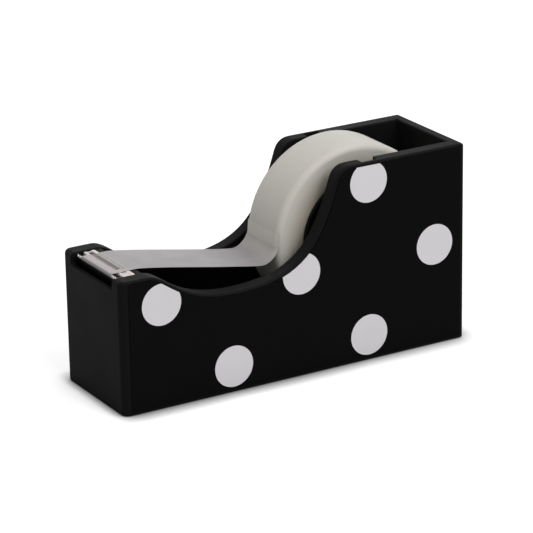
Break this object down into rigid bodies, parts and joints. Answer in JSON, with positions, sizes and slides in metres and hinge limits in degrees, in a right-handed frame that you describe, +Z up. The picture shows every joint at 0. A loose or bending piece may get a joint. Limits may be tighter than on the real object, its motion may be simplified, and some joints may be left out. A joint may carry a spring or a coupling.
{
  "type": "desktop tape dispenser",
  "caption": "Weighted desktop tape dispenser: swept housing with dotted side films, toothed cutter, and a tape roll on a drop-in hub.",
  "frame": {"origin": "on the standing surface, midway along and across the housing", "axes": "+X from the cutter towards the tall rear end, +Y across towards the right side film, +Z up"},
  "size_m": [0.123, 0.0384, 0.0681],
  "materials": {
    "housing_plastic": "satin black",
    "film_black": "matt black printed film",
    "dot_white": "matt white print",
    "blade_steel": "stamped stainless steel",
    "rest_metal": "satin, slightly warm",
    "ballast_iron": "as cast",
    "cover_plastic": "fine texture, black",
    "screw_steel": "zinc plated",
    "foot_rubber": "matt",
    "axle_steel": "drawn rod",
    "hub_plastic": "satin black",
    "core_card": "wound card",
    "tape_film": "frosted translucent film, wound",
    "strip_film": "frosted translucent film"
  },
  "bodies": {
    "base": {"housing": "housing_plastic", "side_film_left": "film_black", "side_film_right": "film_black", "dots_left": "dot_white", "dots_right": "dot_white", "cutter_blade": "blade_steel", "tape_rest": "rest_metal", "ballast": "ballast_iron", "base_cover": "cover_plastic", "cover_screws": "screw_steel", "foot_front_left": "foot_rubber", "foot_front_right": "foot_rubber", "foot_rear_left": "foot_rubber", "foot_rear_right": "foot_rubber"},
    "axle": {"axle_pin": "axle_steel", "tape_strip": "strip_film"},
    "spool": {"hub_wheel": "hub_plastic", "hub_cap": "hub_plastic", "tape_core": "core_card", "tape_roll": "tape_film"}
  },
  "joints": [
    {"name": "roll_lift", "type": "slide", "parent": "base", "child": "axle", "axis": [0, 0, 1], "range_m": [0, 0.06]},
    {"name": "roll_spin", "type": "hinge", "parent": "axle", "child": "spool", "pos_m": [0.027, 0, 0.0392], "axis": [0, -1, 0], "continuous": true}
  ]
}
